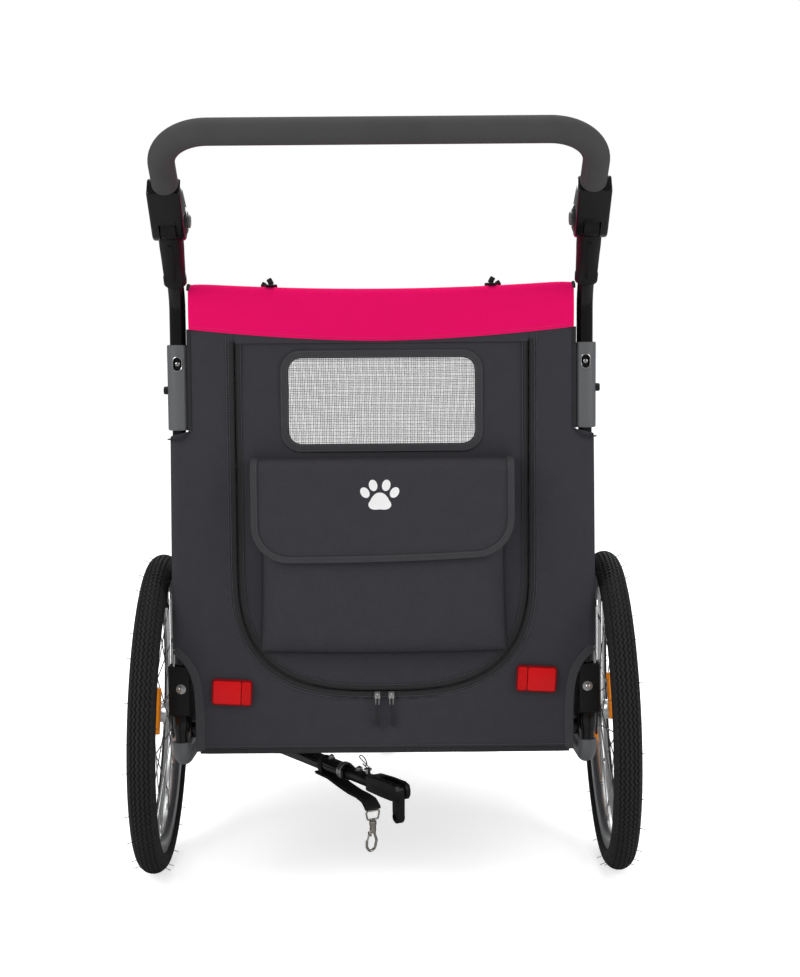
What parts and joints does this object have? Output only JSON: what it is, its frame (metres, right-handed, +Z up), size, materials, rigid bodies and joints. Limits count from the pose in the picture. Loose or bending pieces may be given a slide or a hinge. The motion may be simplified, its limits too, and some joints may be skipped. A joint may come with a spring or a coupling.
{
  "type": "pet stroller",
  "caption": "Pet stroller that is also a bicycle trailer: tube frame with a cloth cabin, spoked wheels, front caster, folding push bar, zip door, pocket and a stowed tow arm.",
  "frame": {"origin": "on the ground, under the middle of the whole object's bounding box", "axes": "+Z up, +Y to the stroller's front, where the caster is, +X to the right of the person pushing it"},
  "size_m": [0.7644, 1.2895, 1.1297],
  "materials": {
    "frame": "gloss black paint",
    "bracket": "satin black paint",
    "rail": "satin grey paint",
    "hub_plastic": "gloss black moulded",
    "grey_plastic": "satin grey moulded",
    "foam": "matt foam",
    "charcoal_cloth": "charcoal woven polyester, coated",
    "pink_cloth": "hot pink woven polyester, coated",
    "mesh": "black open mesh",
    "mat": "quilted charcoal pad",
    "tyre": "black rubber",
    "alloy": "polished",
    "steel": "bright zinc",
    "red_lens": "clear red, prismatic",
    "webbing": "black webbing",
    "moulded_black": "satin black moulded"
  },
  "bodies": {
    "chassis": {"left_side_rail": "rail", "left_upright": "frame", "left_hoop": "frame", "left_axle_bracket": "bracket", "left_wheel_axle": "steel", "left_sleeve": "grey_plastic", "left_stem": "frame", "left_pivot_base": "hub_plastic", "left_side_panel": "charcoal_cloth", "left_side_mesh": "mesh", "left_rear_reflector": "red_lens", "right_side_rail": "rail", "right_upright": "frame", "right_hoop": "frame", "right_axle_bracket": "bracket", "right_wheel_axle": "steel", "right_sleeve": "grey_plastic", "right_stem": "frame", "right_pivot_base": "hub_plastic", "right_side_panel": "charcoal_cloth", "right_side_mesh": "mesh", "right_rear_reflector": "red_lens", "front_cross_tube": "frame", "rear_cross_tube": "frame", "roof_bar": "frame", "floor_mat": "mat", "rear_panel": "charcoal_cloth", "roof_panel": "pink_cloth", "front_panel": "charcoal_cloth", "front_mesh": "mesh", "caster_mount": "bracket"},
    "rear_door": {"rear_door": "charcoal_cloth", "rear_mesh": "mesh", "pocket": "charcoal_cloth"},
    "pocket_flap": {"pocket_flap": "charcoal_cloth"},
    "left_zip_slider": {"left_zip_slider": "steel"},
    "right_zip_slider": {"right_zip_slider": "steel"},
    "handle": {"handle_tube": "frame", "handle_grip": "foam", "left_pivot_arm": "hub_plastic", "right_pivot_arm": "hub_plastic"},
    "left_pivot_button": {"left_pivot_button": "grey_plastic"},
    "right_pivot_button": {"right_pivot_button": "grey_plastic"},
    "left_snap_button": {"left_snap_button": "steel"},
    "right_snap_button": {"right_snap_button": "steel"},
    "left_wheel": {"left_tyre": "tyre", "left_rim": "alloy", "left_hub": "alloy"},
    "right_wheel": {"right_tyre": "tyre", "right_rim": "alloy", "right_hub": "alloy"},
    "caster_fork": {"caster_fork": "bracket"},
    "caster_wheel": {"caster_tyre": "tyre", "caster_rim": "grey_plastic"},
    "tow_arm": {"tow_arm": "frame", "hitch_head": "moulded_black", "safety_strap": "webbing"},
    "hitch_pin": {"hitch_pin": "steel"},
    "hitch_tongue": {"hitch_tongue": "moulded_black"},
    "snap_hook": {"snap_hook": "steel"}
  },
  "joints": [
    {"name": "rear_door_hinge", "type": "hinge", "parent": "chassis", "child": "rear_door", "pos_m": [0, -0.40213, 0.8262], "axis": [-1, 0, 0], "range_deg": [0, 85]},
    {"name": "pocket_flap_hinge", "type": "hinge", "parent": "rear_door", "child": "pocket_flap", "pos_m": [0, -0.40513, 0.653], "axis": [-1, 0, 0], "range_deg": [0, 85]},
    {"name": "left_zip_run", "type": "slide", "parent": "chassis", "child": "left_zip_slider", "axis": [-1, 0, 0], "range_m": [0, 0.06]},
    {"name": "right_zip_run", "type": "slide", "parent": "chassis", "child": "right_zip_slider", "axis": [1, 0, 0], "range_m": [0, 0.06]},
    {"name": "handle_tilt", "type": "hinge", "parent": "chassis", "child": "handle", "pos_m": [0, -0.46513, 1], "axis": [-1, 0, 0], "range_deg": [-20, 105]},
    {"name": "left_pivot_press", "type": "slide", "parent": "handle", "child": "left_pivot_button", "axis": [-1, 0, 0], "range_m": [0, 0.004], "stiffness_N_per_m": 800, "springref_m": -0.002},
    {"name": "right_pivot_press", "type": "slide", "parent": "handle", "child": "right_pivot_button", "axis": [1, 0, 0], "range_m": [0, 0.004], "stiffness_N_per_m": 800, "springref_m": -0.002},
    {"name": "left_snap_press", "type": "slide", "parent": "chassis", "child": "left_snap_button", "axis": [0, 1, 0], "range_m": [0, 0.004], "stiffness_N_per_m": 600, "springref_m": -0.002},
    {"name": "right_snap_press", "type": "slide", "parent": "chassis", "child": "right_snap_button", "axis": [0, 1, 0], "range_m": [0, 0.004], "stiffness_N_per_m": 600, "springref_m": -0.002},
    {"name": "left_wheel_spin", "type": "hinge", "parent": "chassis", "child": "left_wheel", "pos_m": [-0.348, -0.27513, 0.24739], "axis": [0.9996, 0, -0.0297], "continuous": true},
    {"name": "right_wheel_spin", "type": "hinge", "parent": "chassis", "child": "right_wheel", "pos_m": [0.348, -0.27513, 0.24739], "axis": [0.9996, 0, 0.0297], "continuous": true},
    {"name": "caster_swivel", "type": "hinge", "parent": "chassis", "child": "caster_fork", "pos_m": [0, 0.57988, 0.235], "axis": [0, 0, 1], "continuous": true},
    {"name": "caster_spin", "type": "hinge", "parent": "caster_fork", "child": "caster_wheel", "pos_m": [0, 0.54487, 0.1], "axis": [1, 0, 0], "continuous": true},
    {"name": "tow_arm_swing", "type": "hinge", "parent": "chassis", "child": "tow_arm", "pos_m": [-0.3, 0.12487, 0.16], "axis": [0, 0, 1], "range_deg": [0, 80]},
    {"name": "hitch_pin_pull", "type": "slide", "parent": "tow_arm", "child": "hitch_pin", "axis": [0, 0, 1], "range_m": [0, 0.032]},
    {"name": "hitch_tongue_swing", "type": "hinge", "parent": "tow_arm", "child": "hitch_tongue", "pos_m": [0.01979, -0.38006, 0.146], "axis": [0.8448, 0.5351, 0], "range_deg": [-15, 60]},
    {"name": "snap_hook_swing", "type": "hinge", "parent": "tow_arm", "child": "snap_hook", "pos_m": [-0.02034, -0.3167, 0.099], "axis": [0.8448, 0.5351, 0], "range_deg": [-30, 30]}
  ]
}
